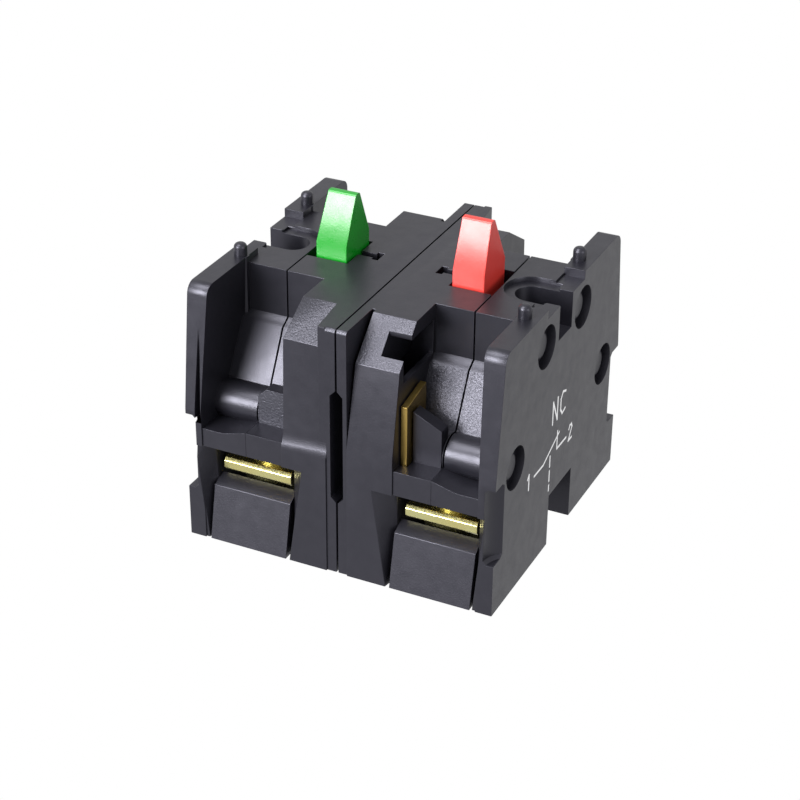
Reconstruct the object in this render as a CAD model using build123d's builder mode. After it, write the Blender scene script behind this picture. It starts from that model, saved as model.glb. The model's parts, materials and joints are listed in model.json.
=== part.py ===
"""Pair of contact blocks of a 22 mm push button: a make block (NO) and a break block (NC).

Both blocks use one moulding, designed here in a block frame in millimetres: X runs from the
seam (0) to the cover's outer face, Y from the notched end (negative) to the plain end, and
Z up from the underside. The break block stands in that frame at +X. The make block is the same
moulding turned half a turn about Z, so the two seam walls meet at X = 0.
"""
from build123d import *
import os

os.makedirs("parts", exist_ok=True)

# ---- overall sizes ----
block_width = 15.0          # seam to outer face
block_length = 29.3         # end to end at the underside
deck_height = 24.3          # underside to top deck
rim_height = 24.9           # underside to the top of the outer wall
plunger_top = 30.0          # underside to plunger crest
parting = 9.0               # seam to the joint between base and cover

# ---- walls and levels of the moulding ----
seam_wall = 1.0             # thickness of the wall at the seam
outer_wall = 1.6            # thickness of the cover's outer wall, low down
rim_width = 2.0             # the same at the top
rim_round = 1.1             # rounded top corners of the outer wall
floor = 1.4                 # bottom thickness
deck = 1.9                  # top deck thickness
end_lean = 1.35             # how far the end faces lean in at the top
end_gap = 0.15              # seam wall and ledges stand back from the outer wall's ends
lean_start = 13.1           # height where the end faces begin to lean
ledge_bottom = 9.6          # roof of the wire opening
ledge_top = 12.0            # floor of the end recess at the parting joint
ledge_outer = 11.4          # the same near the outer wall
ledge_slope_end = 11.4      # seam to the end of the ledge's slope
sill_top = 5.9              # lower lip of the wire opening
sill_face_top = 5.2         # top of the lip's outer face
sill_back = 12.2            # inner face of the lip, from the middle
sill_lean = 1.05            # how far the lip's outer face leans in
deck_half = 6.2             # half length of the deck between the end recesses

# ---- towers beside the seam wall ----
tower_side = 5.4            # seam to the tower's recess side
tower_top_half = 10.0       # where the tower's bevel starts
bevel_foot = 20.9           # foot of that bevel at the notched end
bevel_front = 13.3          # and its distance from the middle
tower_groove = 0.32         # wedge gap between seam wall and tower, at the top
groove_foot = 11.6          # height where the wedge gap closes
groove_start = 9.5          # where the wedge gap begins, from the middle
notch_near = 10.9           # notch in the bevel at the notched end
notch_far = 12.5
notch_side = 3.3
notch_floor = 19.6
hollow_near = 6.6           # hollow behind the notch, open to the recess above the floor
hollow_top = 22.9
hollow_bottom = 15.0
hollow_side = 2.6
hollow_wall = 0.55          # wall between hollow and recess, below that opening
plain_bevel_foot = 22.0     # bevel of the tower at the plain end
plain_bevel_front = 13.8
plain_step_low = 11.5       # step below the tower's front at the plain end
plain_step_high = 12.9
plain_step = 0.5
fin_near = (2.2, 9.5)       # upright fin beside the seam wall at the plain end
fin_far = 1.7
fin_round = 0.35

# ---- diamond-ended notch across the seam at both ends ----
seam_notch_depth = 0.6
seam_notch_low = 7.2
seam_notch_high = 18.5
seam_notch_back = 11.0
seam_relief = 0.08          # open joint between the two blocks, at the top and the ends
seam_relief_depth = 2.0
seam_relief_back = 12.5

# ---- slope over each terminal, with its stop block ----
slope_step = 0.6
slope_top_y = 7.2
slope_top_z = 19.1
slope_foot_y = 10.1
slope_foot_z = 13.6
stop_back = 10.9
stop_front = 12.25
stop_side = 6.2
stop_high = 16.9            # top of the stop block beside the tower
stop_low = 15.6             # and at the joint with the cover
stop_far_side = 8.9
plain_stop_high = 15.5      # stop block of the plain end
plain_stop_corner = 0.8

# ---- moulded rivets ----
boss_radius = 1.8
rivet_radius = 1.4
rivet_head_radius = 2.0
rivet_head_depth = 0.9
rivet_sink = 0.45           # rivet end stands below the outer face
rivet_round = 0.5
rivet_clearance = 0.03
upper_rivet = (4.26, 21.4)  # half spacing and height
lower_rivet = (10.4, 12.7)

# ---- corner scoops and locating pegs of the cover ----
scoop_low = 5.4
scoop_high = 12.3
scoop_radius = 2.6
scoop_end_radius = 2.3
scoop_end = 0.3             # height of each tapered end
scoop_out_x = 1.6           # scoop axis beyond the outer face
scoop_out_y = 0.1           # and beyond the end face
peg_radius = 0.6
peg_x = 13.65
peg_y = 6.3
peg_height = 1.2
peg_round = 0.42            # rounded top of each peg
rib_foot = 16.0             # a rib runs down the outer wall below each peg
rib_face = 12.9             # seam to the rib's face
rib_face_half = 0.3
rib_root_half = 0.5

# ---- wedge groove in the outer wall's face at the plain end ----
wall_groove_x = 13.75
wall_groove_half = 0.3
wall_groove_top = 24.0
wall_groove_depth = 0.9

# ---- inner spaces ----
chamber_half = 5.0          # half length of the contact chamber
chamber_side = 1.6          # seam to the chamber wall
chamber_cover_side = 12.8   # seam to the chamber wall in the cover
chamber_cover_roof = 19.4   # chamber height under the mounting slot
chamber_cover_floor = 6.4   # chamber floor above the bottom channel
terminal_wall = 0.8         # wall between contact chamber and terminal
terminal_side = 5.1         # seam to the terminal space
flare_low = 4.75            # seam to the flared edge of the wire opening, at the bottom
flare_high = 3.3            # the same at the top of the opening
flare_depth = 1.8
flare_over = 0.1            # cuts run past the end face
terminal_outer = 12.9       # seam to the outer side of the wire opening
flare_out_high = 14.2       # seam to the flared edge there, at the top of the opening
flare_out_low = 13.1        # and at the bottom
parting_gap = 0.12          # open joint between base and cover above the ledges
joint_gap = 0.05            # between the cover's lip and the base

# ---- mounting slot, driver holes and bottom channel ----
slot_width = 3.0
slot_head_width = 5.0
slot_head_depth = 0.45
slot_floor = 20.7
slot_centre = 11.75         # centre of the slot's round end
slot_lip = 1.4              # wall left outside the wide part
rim_half = 4.3              # half length of the lowered rim at the slot
rim_drop = 0.8
driver_hole_radius = 2.5
channel_near = -2.0         # bottom channel, along Y
channel_far = 3.4
channel_height = 5.2
channel_inner = 10.8

# ---- plunger ----
travel = 4.3
plunger_width = 3.05
plunger_half = 2.3
plunger_centre = 6.67
band_height = 1.4           # straight band above the deck
crest_half = 0.35
crest_round = 0.3
crest_lean = 0.3            # the head's cover side leans in this much at the crest
hole_seam_side = 4.95
hole_half = 2.55
carrier_seam_side = 4.2
carrier_cover_side = 8.85
carrier_bottom = 8.5
rest_gap = 0.05
root = 1.0                  # features start this far inside the solid they stand on

# ---- T-shaped guide of the plunger ----
guide_cross_near = 2.85
guide_cross_far = 3.45
guide_cross_half = 0.75
guide_stem_half = 0.4
guide_side = 3.9
guide_half = 2.4
guide_bottom = 12.0
guide_clearance = 0.06
rib_bottom = 15.0
rib_sink = 2.2              # rib top below the deck

# ---- contacts ----
bridge_width = 3.0
bridge_thickness = 0.6
bridge_half = 4.6
bridge_corner = 0.5
tip_radius = 0.9
tip_height = 0.6
contact_y = 3.6
window_clearance = 0.15
strip = 0.6                 # sheet thickness of the raised strips
strip_end = 2.65            # inner end of the fixed strips, from the middle
pocket_clearance = 0.05
break_tab = 17.2            # underside of the break block's fixed strip
break_lost_motion = 1.5     # plunger travel before the break contact opens
make_gap = 2.6              # gap between the open make contacts
break_spring_length = 4.0
make_spring_length = 4.3

# ---- terminals ----
bar_thickness = 0.8         # terminal bar under the ledge
bar_side = 5.2
bar_width = 7.6
bar_near = 6.0
bar_far = 13.3
lug_near = 9.4              # upright lug at the notched end
lug_far = 13.2
lug_side = 5.5
lug_front_top = 17.7        # height of the lug at its front edge
lug_back_top = 18.4         # and at its back edge
lug_room = 19.3             # top of the lug's slit
screw_x = 9.0
screw_y = 9.2
shank_radius = 1.7
thread_clearance = 0.05
head_radius = 2.7
head_height = 2.2
head_gap = 0.02
screw_bevel = 0.3
driver_slot = 0.7
driver_depth = 1.1
driver_length = 4.4
shank_top = 9.9
shank_room = 11.15
clamp_low = 6.25
clamp_thickness = 1.3
clamp_near = 6.0
clamp_far = 12.5
clamp_side = 5.65
clamp_width = 6.85
clamp_bevel = 0.3

# ---- springs ----
return_radius = 1.75
return_wire = 0.4
return_pitch = 1.35
contact_spring_radius = 1.05
contact_wire = 0.3
contact_pitch = 0.85
spring_inset = 0.02
stop_post_radius = 1.1
stop_post_gap = 0.1

half = block_length / 2
ledge_half = half - end_gap
deck_under = deck_height - deck
wall_inner = block_width - outer_wall
ends = (-1, 1)
fixed_top = ledge_bottom + bar_thickness
break_bridge_top = break_tab - 2 * tip_height
make_bridge_bottom = fixed_top + 2 * tip_height + make_gap


def slab(points, low, high, mode=Mode.ADD):
    """Side outline (Y, Z) carried along X."""
    with BuildSketch(Plane.YZ.offset(low)) as face:
        with BuildLine():
            Polyline(*points, close=True)
        make_face()
    extrude(face.sketch, amount=high - low, mode=mode)


def bar(points, near, far, mode=Mode.ADD):
    """End outline (X, Z) carried along Y."""
    with BuildSketch(Plane.XZ.offset(-far)) as face:
        with BuildLine():
            Polyline(*points, close=True)
        make_face()
    extrude(face.sketch, amount=far - near, mode=mode)


def plate(points, low, high, mode=Mode.ADD):
    """Plan outline (X, Y) carried along Z."""
    with BuildSketch(Plane.XY.offset(low)) as face:
        with BuildLine():
            Polyline(*points, close=True)
        make_face()
    extrude(face.sketch, amount=high - low, mode=mode)


def block(x_span, y_span, z_span, mode=Mode.ADD):
    """Box between two corners, the Y span in either order."""
    y_low, y_high = sorted(y_span)
    corners = [(x_span[0], y_low), (x_span[1], y_low), (x_span[1], y_high), (x_span[0], y_high)]
    plate(corners, z_span[0], z_span[1], mode)


def rod(x_span, y, z, radius, mode=Mode.ADD):
    """Round bar along X."""
    with BuildSketch(Plane.YZ.offset(x_span[0])) as face:
        with Locations((y, z)):
            Circle(radius)
    extrude(face.sketch, amount=x_span[1] - x_span[0], mode=mode)


def post(x, y, z_span, radius, mode=Mode.ADD):
    """Round bar along Z."""
    with BuildSketch(Plane.XY.offset(z_span[0])) as face:
        with Locations((x, y)):
            Circle(radius)
    extrude(face.sketch, amount=z_span[1] - z_span[0], mode=mode)


def coil(x, z_span, radius, wire, pitch):
    """Compression spring standing between two levels."""
    low = z_span[0] + wire / 2 + spring_inset
    rise = z_span[1] - z_span[0] - wire - 2 * spring_inset
    with BuildLine(Plane.XY.offset(low).shift_origin((x, 0, low))) as path:
        Helix(pitch=pitch, height=rise, radius=radius)
    with BuildSketch(Plane(origin=path.line @ 0, z_dir=path.line % 0)) as section:
        Circle(wire / 2)
    sweep(section.sketch, path=path.line)


def both_ways(points):
    """Side outline completed by its mirror image about the middle of the block."""
    return points + [(-y, z) for y, z in reversed(points)]


def end_face(z):
    """Half length of the leaning end faces at a height."""
    return half - end_lean * max(0.0, z - lean_start) / (rim_height - lean_start)


recess_outline = both_ways([
    (ledge_half, 0), (ledge_half, ledge_top), (slope_foot_y, ledge_top),
    (slope_foot_y, slope_foot_z), (slope_top_y, slope_top_z),
    (deck_half, slope_top_z + slope_step), (deck_half, deck_height),
])
tower_outline = [
    (-half, 0), (-half, lean_start), (-bevel_front, bevel_foot),
    (-tower_top_half, deck_height), (tower_top_half, deck_height),
    (plain_bevel_front, plain_bevel_foot), (half - plain_step, plain_step_high),
    (half, plain_step_low), (half, 0),
]
wall_outline = both_ways([
    (half, 0), (half, lean_start), (end_face(rim_height), rim_height),
])


def open_terminal_space(x_low, x_high, end):
    """Room for bar, clamp and screw below the ledge, and the holes that serve it."""
    inner = chamber_half + terminal_wall
    block((x_low, x_high), (end * inner, end * half), (floor, ledge_bottom), Mode.SUBTRACT)
    room = (bar_side - pocket_clearance, bar_side + bar_width + pocket_clearance)
    pocket = (max(x_low, room[0]), min(x_high, room[1]))
    far = bar_far + pocket_clearance
    block(pocket, (end * inner, end * far), (floor, fixed_top), Mode.SUBTRACT)
    post(screw_x, end * screw_y, (floor, shank_room), shank_radius + 2 * thread_clearance,
         Mode.SUBTRACT)
    post(screw_x, end * screw_y, (0, floor), driver_hole_radius, Mode.SUBTRACT)


def flare(side, low, high, end):
    """Flared side of a wire opening, wider at the top than at the bottom."""
    faces = []
    for level, reach in ((0, low), (ledge_bottom, high)):
        with BuildSketch(Plane.XY.offset(level)) as face:
            with BuildLine():
                Polyline((side, end * (half - flare_depth)), (side, end * (half + flare_over)),
                         (reach, end * (half + flare_over)), close=True)
            make_face()
        faces.append(face.sketch.face())
    loft(faces, mode=Mode.SUBTRACT)


# ---- base: seam wall, towers, deck and the tray for the contacts ----
with BuildPart() as base:
    block((0, seam_wall), (-ledge_half, ledge_half), (0, deck_height))
    top_corners = edges().filter_by(Axis.X).group_by(Axis.Z)[-1]
    fillet(top_corners, fin_round)
    slab(tower_outline, seam_wall, tower_side)
    slab(recess_outline, tower_side, parting)
    plate([(seam_wall, fin_near[1]), fin_near, (fin_far, ledge_half), (seam_wall, ledge_half)],
          lean_start, deck_height)
    for end in ends:
        rod((tower_side, parting), end * lower_rivet[0], lower_rivet[1], boss_radius)
    # stop blocks over the wire openings
    bar([(stop_side, ledge_outer), (stop_far_side, ledge_outer), (stop_far_side, stop_low),
         (stop_side, stop_high)], -stop_front, -stop_back)
    bar([(tower_side, ledge_outer), (stop_far_side, ledge_outer),
         (stop_far_side, plain_stop_high - plain_stop_corner),
         (stop_far_side - plain_stop_corner, plain_stop_high), (tower_side, plain_stop_high)],
        stop_back, stop_front)
    # contact chamber, the plunger's guide and the stop post
    block((chamber_side, parting), (-chamber_half, chamber_half), (floor, deck_under),
          Mode.SUBTRACT)
    block((seam_wall, guide_side), (-guide_half, guide_half), (guide_bottom, deck_under))
    block((guide_cross_near, guide_cross_far), (-guide_cross_half, guide_cross_half),
          (guide_bottom, deck_height), Mode.SUBTRACT)
    block((guide_cross_far, hole_seam_side), (-guide_stem_half, guide_stem_half),
          (guide_bottom, deck_height), Mode.SUBTRACT)
    block((hole_seam_side, parting), (-hole_half, hole_half), (deck_under, deck_height),
          Mode.SUBTRACT)
    post(plunger_centre, 0, (floor / 2, carrier_bottom - travel - stop_post_gap),
         stop_post_radius)
    for end in ends:
        rod((chamber_side / 2, parting), end * upper_rivet[0], upper_rivet[1], boss_radius)
        open_terminal_space(terminal_side, parting, end)
        # pocket for the strip that rises beside the chamber
        block((bar_side - pocket_clearance, parting),
              (end * (chamber_half - root), end * (chamber_half + terminal_wall)),
              (ledge_bottom, break_tab + strip + pocket_clearance), Mode.SUBTRACT)
        # room for the cover's lip, and the flared side of the wire opening
        block((terminal_side, parting), (end * sill_back, end * half), (0, floor),
              Mode.SUBTRACT)
        flare(terminal_side, flare_low, flare_high, end)
        block((0, seam_relief), (end * seam_relief_back, end * half), (0, deck_height),
              Mode.SUBTRACT)
        # diamond-ended notch across the seam
        bar([(0, seam_notch_low), (seam_notch_depth, seam_notch_low + seam_notch_depth),
             (seam_notch_depth, seam_notch_high - seam_notch_depth), (0, seam_notch_high)],
            min(end * seam_notch_back, end * half), max(end * seam_notch_back, end * half),
            Mode.SUBTRACT)
    block((0, seam_relief), (-half, half), (deck_height - seam_relief_depth, deck_height),
          Mode.SUBTRACT)
    # notched end: wedge gap, the open notch with its hollow, and the slit for the lug
    bar([(seam_wall, deck_height), (seam_wall + tower_groove, deck_height),
         (seam_wall, groove_foot)], -half, -groove_start, Mode.SUBTRACT)
    block((notch_side, tower_side), (-notch_far, -notch_near), (notch_floor, deck_height),
          Mode.SUBTRACT)
    block((notch_side, tower_side), (-notch_far, -hollow_near), (notch_floor, hollow_top),
          Mode.SUBTRACT)
    block((hollow_side, tower_side - hollow_wall), (-notch_far, -hollow_near),
          (hollow_bottom, notch_floor), Mode.SUBTRACT)
    block((tower_side, lug_side + strip + pocket_clearance),
          (-lug_far - pocket_clearance, -lug_near + pocket_clearance),
          (ledge_bottom, lug_room), Mode.SUBTRACT)
    # rivets that hold the cover
    for end in ends:
        for spacing, height in (upper_rivet, lower_rivet):
            rod((parting - root, block_width - rivet_sink), end * spacing, height, rivet_radius)
    fillet(edges().filter_by(GeomType.CIRCLE).group_by(Axis.X)[-1], rivet_round)

# ---- cover: outer wall, its share of deck and ledges, and the lips of the wire openings ----
with BuildPart() as cover:
    bar([(block_width, 0), (block_width, rim_height), (block_width - rim_width, rim_height),
         (wall_inner, lean_start), (wall_inner, 0)], -half, half)
    slab(wall_outline, wall_inner - rim_width, block_width, Mode.INTERSECT)
    fillet(edges().filter_by(Axis.X).group_by(Axis.Z)[-1], rim_round)
    slab(recess_outline, parting, wall_inner)
    for end in ends:
        bar([(parting, ledge_top), (wall_inner, ledge_top), (wall_inner, ledge_outer),
             (ledge_slope_end, ledge_outer)],
            min(end * slope_foot_y, end * half), max(end * slope_foot_y, end * half),
            Mode.SUBTRACT)
        rod((parting, wall_inner), end * lower_rivet[0], lower_rivet[1], boss_radius)
    block((parting, chamber_cover_side), (-chamber_half, chamber_half),
          (chamber_cover_floor, chamber_cover_roof), Mode.SUBTRACT)
    for end in ends:
        open_terminal_space(parting, terminal_outer, end)
        block((terminal_side, terminal_outer), (end * sill_back, end * half),
              (0, ledge_bottom), Mode.SUBTRACT)
        slab([(end * sill_back, 0), (end * half, 0),
              (end * (half - sill_lean), sill_face_top), (end * sill_back, sill_top)],
             terminal_side + joint_gap, terminal_outer)
        flare(terminal_outer, flare_out_low, flare_out_high, end)
        # corner scoop with tapered ends
        scoop_y = end * (half + scoop_out_y)
        post(block_width + scoop_out_x, scoop_y, (scoop_low, scoop_high), scoop_radius,
             Mode.SUBTRACT)
        with Locations((block_width + scoop_out_x, scoop_y, scoop_high)):
            Cone(scoop_radius, scoop_end_radius, scoop_end,
                 align=(Align.CENTER, Align.CENTER, Align.MIN), mode=Mode.SUBTRACT)
        with Locations((block_width + scoop_out_x, scoop_y, scoop_low)):
            Cone(scoop_end_radius, scoop_radius, scoop_end,
                 align=(Align.CENTER, Align.CENTER, Align.MAX), mode=Mode.SUBTRACT)
    # bottom channel, lowered rim and mounting slot
    block((channel_inner, block_width), (channel_near, channel_far), (0, channel_height),
          Mode.SUBTRACT)
    block((block_width - rim_width, block_width), (-rim_half, rim_half),
          (rim_height - rim_drop, rim_height), Mode.SUBTRACT)
    for width, far, depth in ((slot_head_width, block_width - slot_lip, slot_head_depth),
                              (slot_width, block_width, deck_height - slot_floor)):
        low = deck_height - depth
        post(slot_centre, 0, (low, deck_height), width / 2, Mode.SUBTRACT)
        block((slot_centre, far), (-width / 2, width / 2), (low, deck_height), Mode.SUBTRACT)
    # pegs and rivet holes
    for end in ends:
        post(peg_x, end * peg_y, (rim_height, rim_height + peg_height), peg_radius)
    fillet(edges().filter_by(GeomType.CIRCLE).group_by(Axis.Z)[-1], peg_round)
    for end in ends:
        middle = end * peg_y
        plate([(rib_face, middle - rib_face_half), (peg_x, middle - rib_root_half),
               (peg_x, middle + rib_root_half), (rib_face, middle + rib_face_half)],
              rib_foot, rim_height)
    # wedge groove in the wall's face at the plain end
    bar([(wall_groove_x, wall_groove_top), (wall_groove_x + wall_groove_half, ledge_top),
         (wall_groove_x - wall_groove_half, ledge_top)], half - wall_groove_depth, half,
        Mode.SUBTRACT)
    # open joint above the ledges
    block((parting, parting + parting_gap), (-half, half), (ledge_top, deck_height),
          Mode.SUBTRACT)
    for end in ends:
        for spacing, height in (upper_rivet, lower_rivet):
            rod((parting, block_width), end * spacing, height, rivet_radius + rivet_clearance,
                Mode.SUBTRACT)
            rod((block_width - rivet_head_depth, block_width), end * spacing, height,
                rivet_head_radius, Mode.SUBTRACT)


def build_plunger(window_low, window_high):
    """Plunger with its roof-shaped head, carrier, guide rib and the bridge's window."""
    near = plunger_centre - plunger_width / 2
    far = plunger_centre + plunger_width / 2
    band_top = deck_height + band_height
    slab(both_ways([(plunger_half, deck_under - root), (plunger_half, band_top),
                    (crest_half, plunger_top)]), near, far)
    fillet(edges().filter_by(Axis.X).group_by(Axis.Z)[-1], crest_round)
    bar([(far, band_top), (far, plunger_top), (far - crest_lean, plunger_top)],
        -plunger_half, plunger_half, Mode.SUBTRACT)
    block((carrier_seam_side, carrier_cover_side), (-plunger_half, plunger_half),
          (carrier_bottom, deck_under - rest_gap))
    rib_top = deck_height - rib_sink
    block((guide_cross_far - guide_clearance, near + root),
          (-guide_stem_half + guide_clearance, guide_stem_half - guide_clearance),
          (rib_bottom, rib_top))
    block((guide_cross_near + guide_clearance, guide_cross_far - guide_clearance),
          (-guide_cross_half + guide_clearance, guide_cross_half - guide_clearance),
          (rib_bottom, rib_top))
    side = bridge_width / 2 + window_clearance
    block((plunger_centre - side, plunger_centre + side), (-plunger_half, plunger_half),
          (window_low, window_high), Mode.SUBTRACT)


# ---- plungers ----
break_window = (break_bridge_top - bridge_thickness - break_spring_length,
                break_bridge_top + break_lost_motion + rest_gap)
make_window = (make_bridge_bottom - rest_gap,
               make_bridge_bottom + bridge_thickness + make_spring_length)
with BuildPart() as break_plunger:
    build_plunger(*break_window)
with BuildPart() as make_plunger:
    build_plunger(*make_window)


def build_bridge(low):
    """Contact bridge lying across the carrier."""
    with BuildSketch(Plane.XY.offset(low)) as face:
        with Locations((plunger_centre, 0)):
            RectangleRounded(bridge_width, 2 * bridge_half, bridge_corner)
    extrude(face.sketch, amount=bridge_thickness)


def build_tips(low):
    """Pair of contact tips, each a separate disc."""
    for end in ends:
        post(plunger_centre, end * contact_y, (low, low + tip_height), tip_radius)


# ---- bridges and contact tips ----
with BuildPart() as break_bridge:
    build_bridge(break_bridge_top - bridge_thickness)
with BuildPart() as make_bridge:
    build_bridge(make_bridge_bottom)
with BuildPart() as break_bridge_tips:
    build_tips(break_bridge_top)
with BuildPart() as make_bridge_tips:
    build_tips(make_bridge_bottom - tip_height)
with BuildPart() as break_fixed_tips:
    build_tips(break_tab - tip_height)
with BuildPart() as make_fixed_tips:
    build_tips(fixed_top)

# ---- springs ----
with BuildPart() as return_spring:
    coil(plunger_centre, (floor, carrier_bottom), return_radius, return_wire, return_pitch)
with BuildPart() as break_contact_spring:
    coil(plunger_centre, (break_window[0], break_bridge_top - bridge_thickness),
         contact_spring_radius, contact_wire, contact_pitch)
with BuildPart() as make_contact_spring:
    coil(plunger_centre, (make_bridge_bottom + bridge_thickness, make_window[1]),
         contact_spring_radius, contact_wire, contact_pitch)


def build_terminal(end, raised):
    """Terminal bar with its strip into the chamber, raised for the break contact."""
    strip_side = plunger_centre - bridge_width / 2
    strip_span = (strip_side, strip_side + bridge_width)
    outer = chamber_half + strip
    block((bar_side, bar_side + bar_width), (end * bar_near, end * bar_far),
          (ledge_bottom, fixed_top))
    if raised:
        block(strip_span, (end * chamber_half, end * bar_near), (ledge_bottom, fixed_top))
        block(strip_span, (end * chamber_half, end * outer), (ledge_bottom, break_tab + strip))
        block(strip_span, (end * strip_end, end * outer), (break_tab, break_tab + strip))
    else:
        block(strip_span, (end * strip_end, end * bar_near), (ledge_bottom, fixed_top))
    if end < 0:
        slab([(-lug_far, ledge_bottom), (-lug_far, lug_front_top), (-lug_near, lug_back_top),
              (-lug_near, ledge_bottom)], lug_side, lug_side + strip)
    post(screw_x, end * screw_y, (ledge_bottom, fixed_top), shank_radius + thread_clearance,
         Mode.SUBTRACT)


# ---- terminal bars ----
with BuildPart() as break_terminal_notched:
    build_terminal(-1, True)
with BuildPart() as break_terminal_plain:
    build_terminal(1, True)
with BuildPart() as make_terminal_notched:
    build_terminal(-1, False)
with BuildPart() as make_terminal_plain:
    build_terminal(1, False)


def build_clamp(end):
    """Clamp plate that the screw lifts against the wire."""
    block((clamp_side, clamp_side + clamp_width), (end * clamp_near, end * clamp_far),
          (clamp_low, clamp_low + clamp_thickness))
    front = edges().filter_by(Axis.X).sort_by(Axis.Y)
    chamfer(front[:2] if end < 0 else front[-2:], clamp_bevel)
    post(screw_x, end * screw_y, (clamp_low, clamp_low + clamp_thickness),
         shank_radius + thread_clearance, Mode.SUBTRACT)


def build_screw(end):
    """Terminal screw, its head below the clamp plate."""
    head_top = clamp_low - head_gap
    post(screw_x, end * screw_y, (head_top - head_height, head_top), head_radius)
    chamfer(edges().filter_by(GeomType.CIRCLE).group_by(Axis.Z)[0], screw_bevel)
    post(screw_x, end * screw_y, (head_top, shank_top), shank_radius)
    chamfer(edges().filter_by(GeomType.CIRCLE).group_by(Axis.Z)[-1], screw_bevel)
    low = head_top - head_height
    for x_reach, y_reach in ((driver_length, driver_slot), (driver_slot, driver_length)):
        block((screw_x - x_reach / 2, screw_x + x_reach / 2),
              (end * screw_y - y_reach / 2, end * screw_y + y_reach / 2),
              (low, low + driver_depth), Mode.SUBTRACT)


# ---- clamps and screws ----
with BuildPart() as clamp_notched:
    build_clamp(-1)
with BuildPart() as clamp_plain:
    build_clamp(1)
with BuildPart() as screw_notched:
    build_screw(-1)
with BuildPart() as screw_plain:
    build_screw(1)

# ---- the two finished blocks ----
break_block = {
    "base": base, "cover": cover, "plunger": break_plunger, "bridge": break_bridge,
    "bridge_tips": break_bridge_tips, "fixed_tips": break_fixed_tips,
    "contact_spring": break_contact_spring, "return_spring": return_spring,
    "front_terminal": break_terminal_notched, "rear_terminal": break_terminal_plain,
    "front_clamp": clamp_notched, "rear_clamp": clamp_plain,
    "front_screw": screw_notched, "rear_screw": screw_plain,
}
make_block = {
    "base": base, "cover": cover, "plunger": make_plunger, "bridge": make_bridge,
    "bridge_tips": make_bridge_tips, "fixed_tips": make_fixed_tips,
    "contact_spring": make_contact_spring, "return_spring": return_spring,
    "front_terminal": make_terminal_plain, "rear_terminal": make_terminal_notched,
    "front_clamp": clamp_plain, "rear_clamp": clamp_notched,
    "front_screw": screw_plain, "rear_screw": screw_notched,
}
for prefix, turn, pieces in (("nc", 0, break_block), ("no", 180, make_block)):
    for name, piece in pieces.items():
        with BuildPart() as placed:
            add(piece.part, rotation=(0, 0, turn))
        placed.part.label = f"{prefix}_{name}"
        export_step(placed.part, f"parts/{prefix}_{name}.step")
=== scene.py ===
"""Looks of a pair of push-button contact blocks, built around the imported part."""
import json
import math

import bmesh
import bpy
from mathutils import Matrix, Vector


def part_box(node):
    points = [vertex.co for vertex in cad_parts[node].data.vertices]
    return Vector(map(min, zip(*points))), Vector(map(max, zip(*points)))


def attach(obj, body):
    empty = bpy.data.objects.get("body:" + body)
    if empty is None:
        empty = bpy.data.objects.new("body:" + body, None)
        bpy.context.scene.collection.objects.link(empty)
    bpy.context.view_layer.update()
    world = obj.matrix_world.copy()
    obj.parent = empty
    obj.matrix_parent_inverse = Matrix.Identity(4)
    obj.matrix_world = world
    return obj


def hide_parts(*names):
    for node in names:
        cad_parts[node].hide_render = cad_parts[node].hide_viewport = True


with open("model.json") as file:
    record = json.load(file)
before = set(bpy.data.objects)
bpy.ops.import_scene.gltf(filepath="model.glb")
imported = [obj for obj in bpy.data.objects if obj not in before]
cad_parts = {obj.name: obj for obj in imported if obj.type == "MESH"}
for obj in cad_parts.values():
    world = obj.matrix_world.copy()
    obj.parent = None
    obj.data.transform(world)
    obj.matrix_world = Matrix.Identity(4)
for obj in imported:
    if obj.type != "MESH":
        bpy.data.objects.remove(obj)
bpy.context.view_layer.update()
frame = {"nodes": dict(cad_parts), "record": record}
MM = 0.001
SIDES = ("nc", "no")

# ---------------------------------------------------------------- camera
AZIMUTH = math.radians(25.40)
ELEVATION = math.radians(29.39)
ROLL = math.radians(-0.49)
TARGET_RIGHT, TARGET_DOWN, TARGET_AWAY = 0.7 * MM, 9.0 * MM, 191.2 * MM
FOCAL = 90.76
SENSOR = 36.0


def make_camera():
    """Camera that looks along its azimuth and elevation, with the frame's origin at a set place."""
    away = Vector((-math.sin(AZIMUTH) * math.cos(ELEVATION),
                   math.cos(AZIMUTH) * math.cos(ELEVATION), -math.sin(ELEVATION)))
    level = Vector((math.cos(AZIMUTH), math.sin(AZIMUTH), 0))
    below = away.cross(level)
    right = level * math.cos(ROLL) + below * math.sin(ROLL)
    down = below * math.cos(ROLL) - level * math.sin(ROLL)
    place = -(right * TARGET_RIGHT + down * TARGET_DOWN + away * TARGET_AWAY)
    data = bpy.data.cameras.new("camera")
    data.lens = FOCAL
    data.sensor_width = SENSOR
    data.clip_start = 0.01
    data.clip_end = 20
    camera = bpy.data.objects.new("camera", data)
    turn = Matrix((right, -down, -away)).transposed()
    camera.matrix_world = Matrix.Translation(place) @ turn.to_4x4()
    bpy.context.scene.collection.objects.link(camera)
    bpy.context.scene.camera = camera


make_camera()


# ---------------------------------------------------------------- shader kit
class Wire:
    """A shader socket that can be used in sums."""

    def __init__(self, mat, socket):
        self.mat = mat
        self.socket = socket

    def sum(self, operation, a, b=None):
        node = self.mat.node_tree.nodes.new("ShaderNodeMath")
        node.operation = operation
        for slot, value in enumerate((a, b)):
            if value is not None:
                feed(self.mat, node.inputs[slot], value)
        return Wire(self.mat, node.outputs[0])

    def __add__(self, other):
        return self.sum("ADD", self, other)

    __radd__ = __add__

    def __sub__(self, other):
        return self.sum("SUBTRACT", self, other)

    def __rsub__(self, other):
        return self.sum("SUBTRACT", other, self)

    def __mul__(self, other):
        return self.sum("MULTIPLY", self, other)

    __rmul__ = __mul__


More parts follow.
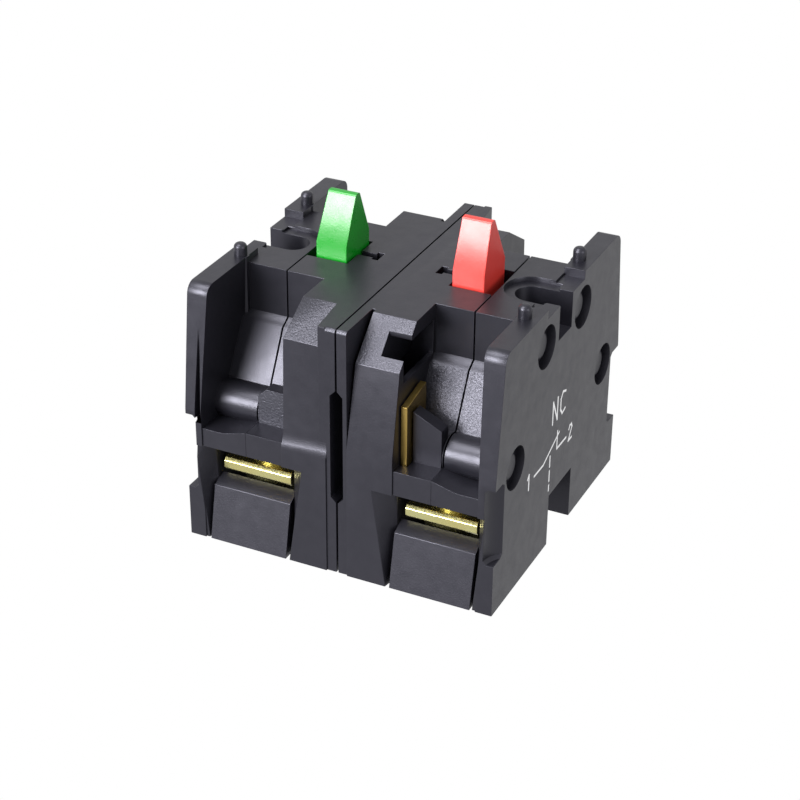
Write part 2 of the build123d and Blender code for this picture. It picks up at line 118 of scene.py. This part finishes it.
def feed(mat, socket, value):
    """Links or sets one socket."""
    if isinstance(value, Wire):
        mat.node_tree.links.new(value.socket, socket)
    elif hasattr(value, "__len__") and len(value) == 3 and len(socket.default_value) == 4:
        socket.default_value = (*value, 1)
    else:
        socket.default_value = value


def add_node(mat, kind, settings=None, **inputs):
    """Adds a node: settings first, then its sockets by name. Returns its first output."""
    node = mat.node_tree.nodes.new(kind)
    settings = settings or {}
    for name, value in settings.items():
        if name != "output":
            setattr(node, name, value)
    for name, value in inputs.items():
        feed(mat, node.inputs[name.replace("_", " ")], value)
    return Wire(mat, node.outputs[settings.get("output", 0)])


def new_material(name):
    mat = bpy.data.materials.new(name)
    mat.use_nodes = True
    return mat


def surface(mat):
    return mat.node_tree.nodes["Principled BSDF"]


def shade(mat, **values):
    """Sets or links the surface's sockets by name."""
    for name, value in values.items():
        feed(mat, surface(mat).inputs[name.replace("_", " ")], value)


def coords(mat):
    return add_node(mat, "ShaderNodeTexCoord", {"output": "Object"})


def grain(mat, scale, detail=2.0, roughness=0.5):
    """Noise of a given feature count per metre, 0 to 1."""
    return add_node(mat, "ShaderNodeTexNoise", None, Vector=coords(mat), Scale=scale,
                    Detail=detail, Roughness=roughness)


def blend_colour(mat, factor, a, b):
    """Colour between a and b."""
    node = mat.node_tree.nodes.new("ShaderNodeMix")
    node.data_type = "RGBA"
    feed(mat, node.inputs["Factor"], factor)
    feed(mat, node.inputs[6], a)
    feed(mat, node.inputs[7], b)
    return Wire(mat, node.outputs[2])


CLOUD, DRIFT, WAVE = 140, 500, 300     # features per metre of the slow variations
SOFT, PLATING = 900, 6000              # and of the quick ones


def moulding(name, colour, light, roughness, fine, fine_depth, drift=0.00003, specular=0.5,
             sheen=(1, 1, 1)):
    """Injection moulded plastic with a grain of a given size and depth."""
    mat = new_material(name)
    cloud = grain(mat, CLOUD, 3)
    speck = grain(mat, fine, 2, 0.6)
    soft = grain(mat, SOFT, 4)
    shade(mat, Base_Color=blend_colour(mat, cloud * 0.6 + speck * 0.4, colour, light),
          Roughness=roughness + (soft - 0.5) * 0.16 + (speck - 0.5) * 0.12,
          Specular_IOR_Level=specular, Specular_Tint=sheen)
    bump = add_node(mat, "ShaderNodeBump", None, Strength=1.0, Distance=fine_depth, Height=speck)
    wave = add_node(mat, "ShaderNodeBump", None, Strength=1.0, Distance=drift,
                    Height=grain(mat, WAVE, 2), Normal=bump)
    shade(mat, Normal=wave)
    return mat


SHEEN = (0.86, 0.85, 1.0)    # tint of the light that black plastic mirrors
black = moulding("black_moulding", (0.0045, 0.0044, 0.0065), (0.009, 0.0088, 0.012),
                 0.36, 9000, 0.000010, sheen=SHEEN)
spark = moulding("spark_grain", (0.006, 0.006, 0.009), (0.035, 0.035, 0.043),
                 0.36, 5200, 0.00007, 0.00002, 0.6, sheen=SHEEN)
green = moulding("green_moulding", (0.0, 0.15, 0.006), (0.004, 0.21, 0.012), 0.30, 7000,
                 0.000008)
red = moulding("red_moulding", (0.40, 0.022, 0.016), (0.50, 0.036, 0.028), 0.33, 7000, 0.000008)
ink = moulding("white_ink", (0.62, 0.62, 0.64), (0.80, 0.80, 0.80), 0.5, 8000, 0.000006)


def plated(name, colour, tint, roughness):
    """Passivated plating with a slight colour drift."""
    mat = new_material(name)
    drift = grain(mat, DRIFT, 3)
    fine = grain(mat, PLATING, 2)
    shade(mat, Base_Color=blend_colour(mat, drift, colour, tint), Metallic=1.0,
          Roughness=roughness + (fine - 0.5) * 0.2)
    shade(mat, Normal=add_node(mat, "ShaderNodeBump", None, Strength=1.0,
                               Distance=0.00001, Height=fine))
    return mat


zinc = plated("yellow_zinc", (0.66, 0.55, 0.20), (0.62, 0.64, 0.34), 0.26)
brass = plated("contact_brass", (0.46, 0.32, 0.09), (0.38, 0.26, 0.08), 0.32)
silver = plated("contact_silver", (0.85, 0.84, 0.82), (0.75, 0.74, 0.72), 0.3)
steel = plated("spring_steel", (0.62, 0.62, 0.63), (0.52, 0.52, 0.54), 0.3)

FINISH = {"base": black, "cover": black, "bridge": brass, "bridge_tips": silver,
          "fixed_tips": silver, "contact_spring": steel, "return_spring": steel,
          "front_terminal": brass, "rear_terminal": brass, "front_clamp": zinc,
          "rear_clamp": zinc, "front_screw": zinc, "rear_screw": zinc}
BODY_OF = {node: body for body, nodes in frame["record"]["behaviour"]["bodies"].items()
           for node in nodes}


# ---------------------------------------------------------------- bevelled copies
def in_block(side, point):
    """Millimetres in the block's own frame: out from the seam, towards the plain end, up."""
    turn = 1 if side == "nc" else -1
    return point.x * turn / MM, point.y * turn / MM, point.z / MM


# Coarsely grained faces in the block's frame: limits out from the seam, along and up, in
# millimetres, and the least normal along (in size) and up.
TOWER_BEVELS = ((-1, 5.5), (-15, 15), (20, 25), 0.3, 0.3)
NOTCHED_SLOPE = ((5.3, 13.5), (-10.2, -7.1), (13.4, 19.3), 0.5, 0.2)
PLAIN_STOP = ((5.3, 9), (12, 15), (12, 16), 0.9, -1)


def is_spark_grained(side, face):
    """Faces of the moulding that carry the coarse spark grain."""
    centre = in_block(side, face.calc_center_median())
    normal = in_block(side, face.normal * MM)
    for *spans, least_along, least_up in (TOWER_BEVELS, NOTCHED_SLOPE, PLAIN_STOP):
        inside = all(low < value < high for value, (low, high) in zip(centre, spans))
        if inside and abs(normal[1]) > least_along and normal[2] > least_up:
            return True
    return False


def keep_inside(mesh, name):
    """Brings back any vertex that the bevel pushed out of its node's box."""
    low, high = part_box(name)
    if name.endswith("cover"):
        low, high = low + Vector((PRINT_RISE, 0, 0)), high - Vector((PRINT_RISE, 0, 0))
    for vertex in mesh.verts:
        for axis in range(3):
            vertex.co[axis] = min(max(vertex.co[axis], low[axis]), high[axis])


CORNER = math.radians(32)    # edges sharper than this are bevelled
FLAT = math.radians(0.4)     # faces closer to one plane than this are one face
MERGE = 0.001 * MM           # vertices closer than this are one vertex
PRINT_RISE = 0.01 * MM       # the print stands this much above the moulding


def bevelled(name, width, finish, coarse=None):
    """Copy of a CAD node: flats made whole, edges rounded by a width, curved parts smooth."""
    side = name.split("_")[0]
    node = frame["nodes"][name]
    mesh = bmesh.new()
    mesh.from_mesh(node.data)
    bmesh.ops.remove_doubles(mesh, verts=mesh.verts, dist=MERGE)
    bmesh.ops.dissolve_limit(mesh, angle_limit=FLAT, verts=mesh.verts,
                             edges=mesh.edges)
    sharp = [edge for edge in mesh.edges if len(edge.link_faces) == 2 and edge.is_convex
             and edge.calc_face_angle(0) > CORNER and edge.calc_length() > width]
    if coarse:
        for face in mesh.faces:
            face.material_index = 1 if is_spark_grained(side, face) else 0
    bmesh.ops.bevel(mesh, geom=sharp, offset=width, offset_type="OFFSET", affect="EDGES",
                    segments=2, profile=0.5, material=-1, clamp_overlap=False)
    bmesh.ops.remove_doubles(mesh, verts=mesh.verts, dist=width / 6)
    bmesh.ops.dissolve_degenerate(mesh, dist=MERGE, edges=mesh.edges)
    keep_inside(mesh, name)
    for face in mesh.faces:
        face.smooth = True
    for edge in mesh.edges:
        edge.smooth = len(edge.link_faces) == 2 and edge.calc_face_angle(0) < CORNER
    data = bpy.data.meshes.new(name + "_look")
    mesh.to_mesh(data)
    mesh.free()
    piece = bpy.data.objects.new(name + "_look", data)
    bpy.context.scene.collection.objects.link(piece)
    data.materials.append(finish)
    if coarse:
        data.materials.append(coarse)
    even = piece.modifiers.new("even_shading", "WEIGHTED_NORMAL")
    even.keep_sharp = True
    even.weight = 100
    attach(piece, BODY_OF[name])
    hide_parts(name)
    return piece


# width of the rounded edges of the visible pieces, in millimetres
EDGE_WIDTH = {"base": 0.05, "cover": 0.045, "plunger": 0.10, "front_clamp": 0.06,
              "rear_clamp": 0.06, "front_terminal": 0.05, "rear_terminal": 0.05}
for name, node in frame["nodes"].items():
    side, kind = name.split("_", 1)
    finish = FINISH.get(kind) or (green if side == "no" else red)
    if kind in EDGE_WIDTH:
        bevelled(name, EDGE_WIDTH[kind] * MM, finish, spark if finish == black else None)
    else:
        node.data.materials.clear()
        node.data.materials.append(finish)


# ---------------------------------------------------------------- print on the outer faces
LINE = 0.22                  # printed line width, millimetres
FACES_A_LINE = 6
LAYERS = 7
LAYER_STEP = 0.0012 * MM
GLYPHS = {                   # strokes in a cell one wide and two high
    "1": [((0.2, 1.6), (0.6, 2.0)), ((0.6, 2.0), (0.6, 0.0))],
    "2": [((0.0, 1.6), (0.3, 2.0)), ((0.3, 2.0), (0.8, 2.0)), ((0.8, 2.0), (1.0, 1.5)),
          ((1.0, 1.5), (0.0, 0.0)), ((0.0, 0.0), (1.0, 0.0))],
    "3": [((0.0, 2.0), (1.0, 2.0)), ((1.0, 2.0), (0.45, 1.2)), ((0.45, 1.2), (1.0, 0.7)),
          ((1.0, 0.7), (0.8, 0.1)), ((0.8, 0.1), (0.0, 0.1))],
    "4": [((0.8, 0.0), (0.8, 2.0)), ((0.8, 2.0), (0.0, 0.6)), ((0.0, 0.6), (1.1, 0.6))],
    "N": [((0.0, 0.0), (0.0, 2.0)), ((0.0, 2.0), (1.0, 0.0)), ((1.0, 0.0), (1.0, 2.0))],
    "C": [((1.0, 1.8), (0.4, 2.0)), ((0.4, 2.0), (0.0, 1.5)), ((0.0, 1.5), (0.0, 0.5)),
          ((0.0, 0.5), (0.4, 0.0)), ((0.4, 0.0), (1.0, 0.2))],
    "O": [((0.3, 0.0), (0.0, 0.5)), ((0.0, 0.5), (0.0, 1.5)), ((0.0, 1.5), (0.3, 2.0)),
          ((0.3, 2.0), (0.8, 2.0)), ((0.8, 2.0), (1.1, 1.5)), ((1.1, 1.5), (1.1, 0.5)),
          ((1.1, 0.5), (0.8, 0.0)), ((0.8, 0.0), (0.3, 0.0))],
}
LEADS = [((-5.9, 9.4), (-3.8, 9.4)), ((-0.6, 9.4), (1.6, 9.4)),
         ((-2.2, 9.4), (-2.2, 8.4)), ((-2.2, 7.9), (-2.2, 6.9)), ((-2.2, 6.4), (-2.2, 5.9))]
MARKS = {"nc": {"lines": LEADS + [((-3.8, 9.4), (-0.2, 10.9)), ((-0.6, 9.4), (-0.6, 11.2))],
                "left": "1", "right": "2", "name": "NC"},
         "no": {"lines": LEADS + [((-3.8, 9.4), (-0.8, 10.9))],
                "left": "3", "right": "4", "name": "NO"}}


def stroke(mesh, side, start, end):
    """One printed line between two points (along, up), in millimetres, on a block's outer face."""
    turn = 1 if side == "nc" else -1
    layer = len(mesh.faces) // FACES_A_LINE % LAYERS     # crossing lines differ in layer
    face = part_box(f"{side}_cover")[1 if side == "nc" else 0][0] - turn * layer * LAYER_STEP
    run = (Vector(end) - Vector(start)).normalized() * LINE / 2
    across = Vector((-run.y, run.x))
    corners = [Vector(start) - run - across, Vector(end) + run - across,
               Vector(end) + run + across, Vector(start) - run + across]
    front, back = ([mesh.verts.new((face - turn * depth, turn * c.x * MM, c.y * MM))
                    for c in corners] for depth in (0, 2 * PRINT_RISE))
    mesh.faces.new(front)
    mesh.faces.new(back[::-1])
    for i in range(4):
        after = (i + 1) % 4
        mesh.faces.new((front[i], back[i], back[after], front[after]))


LETTER_PITCH = 1.7           # letter spacing, as a share of the cell width
NUMBER_SIZE, NAME_SIZE = 0.75, 1.1
NUMBER_LEVEL, NAME_LEVEL = 8.7, 12.6
LEFT_START, RIGHT_START, NAME_START = -7.6, 2.3, -2.0


def contact_mark(side):
    """Contact symbol with its terminal numbers and the contact's kind."""
    mark = MARKS[side]
    mesh = bmesh.new()
    for start, end in mark["lines"]:
        stroke(mesh, side, start, end)
    words = ((mark["left"], LEFT_START, NUMBER_LEVEL, NUMBER_SIZE),
             (mark["right"], RIGHT_START, NUMBER_LEVEL, NUMBER_SIZE),
             (mark["name"], NAME_START, NAME_LEVEL, NAME_SIZE))
    for word, along, up, size in words:
        for place, letter in enumerate(word):
            shift = along + place * LETTER_PITCH * size
            for start, end in GLYPHS[letter]:
                stroke(mesh, side, (shift + start[0] * size, up + start[1] * size),
                       (shift + end[0] * size, up + end[1] * size))
    data = bpy.data.meshes.new(f"{side}_contact_mark")
    mesh.to_mesh(data)
    mesh.free()
    data.materials.append(ink)
    piece = bpy.data.objects.new(f"{side}_contact_mark", data)
    bpy.context.scene.collection.objects.link(piece)
    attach(piece, "housing")


for side in SIDES:
    contact_mark(side)


# ---------------------------------------------------------------- studio
BOUNCE = 0.75                # how bright the white set looks to the part itself
AMBIENT = 0.85
FLOOR_REACH = 3.0
FLOOR_GAP = 0.02 * MM        # keeps the floor clear of the part's underside


def make_floor():
    """Plain pale floor under the part."""
    mesh = bmesh.new()
    bmesh.ops.create_grid(mesh, x_segments=1, y_segments=1, size=FLOOR_REACH,
                          matrix=Matrix.Translation((0, 0, -FLOOR_GAP)))
    data = bpy.data.meshes.new("floor")
    mesh.to_mesh(data)
    mesh.free()
    floor = bpy.data.objects.new("floor", data)
    bpy.context.scene.collection.objects.link(floor)
    mat = new_material("pale_floor")
    seen = add_node(mat, "ShaderNodeLightPath", {"output": "Is Camera Ray"})
    shade(mat, Base_Color=(0, 0, 0), Specular_IOR_Level=0, Emission_Color=(1, 1, 1),
          Emission_Strength=seen * (1 - BOUNCE) + BOUNCE)
    data.materials.append(mat)


def soft_light(name, place, aim, size, power):
    """Square softbox that faces a point."""
    data = bpy.data.lights.new(name, "AREA")
    data.shape = "SQUARE"
    data.size = size
    data.energy = power
    light = bpy.data.objects.new(name, data)
    light.location = place
    light.rotation_euler = (Vector(aim) - Vector(place)).to_track_quat("-Z", "Y").to_euler()
    bpy.context.scene.collection.objects.link(light)


make_floor()
world = bpy.data.worlds.new("studio")
world.use_nodes = True
backdrop = world.node_tree.nodes["Background"]
backdrop.inputs["Color"].default_value = (1, 1, 1, 1)
seen = world.node_tree.nodes.new("ShaderNodeLightPath").outputs["Is Camera Ray"]
level = world.node_tree.nodes.new("ShaderNodeMapRange")
level.inputs["To Min"].default_value = AMBIENT
level.inputs["To Max"].default_value = 1.0
world.node_tree.links.new(seen, level.inputs["Value"])
world.node_tree.links.new(level.outputs["Result"], backdrop.inputs["Strength"])
bpy.context.scene.world = world
bpy.context.scene.view_settings.view_transform = "Standard"
soft_light("key", (-0.16, -0.16, 0.46), (0, 0, 0.012), 0.26, 2.6)
soft_light("fill", (0.50, -0.16, 0.07), (0, 0, 0.014), 0.30, 1.2)
soft_light("front", (-0.21, -0.47, 0.19), (0, 0, 0.014), 0.26, 6.5)
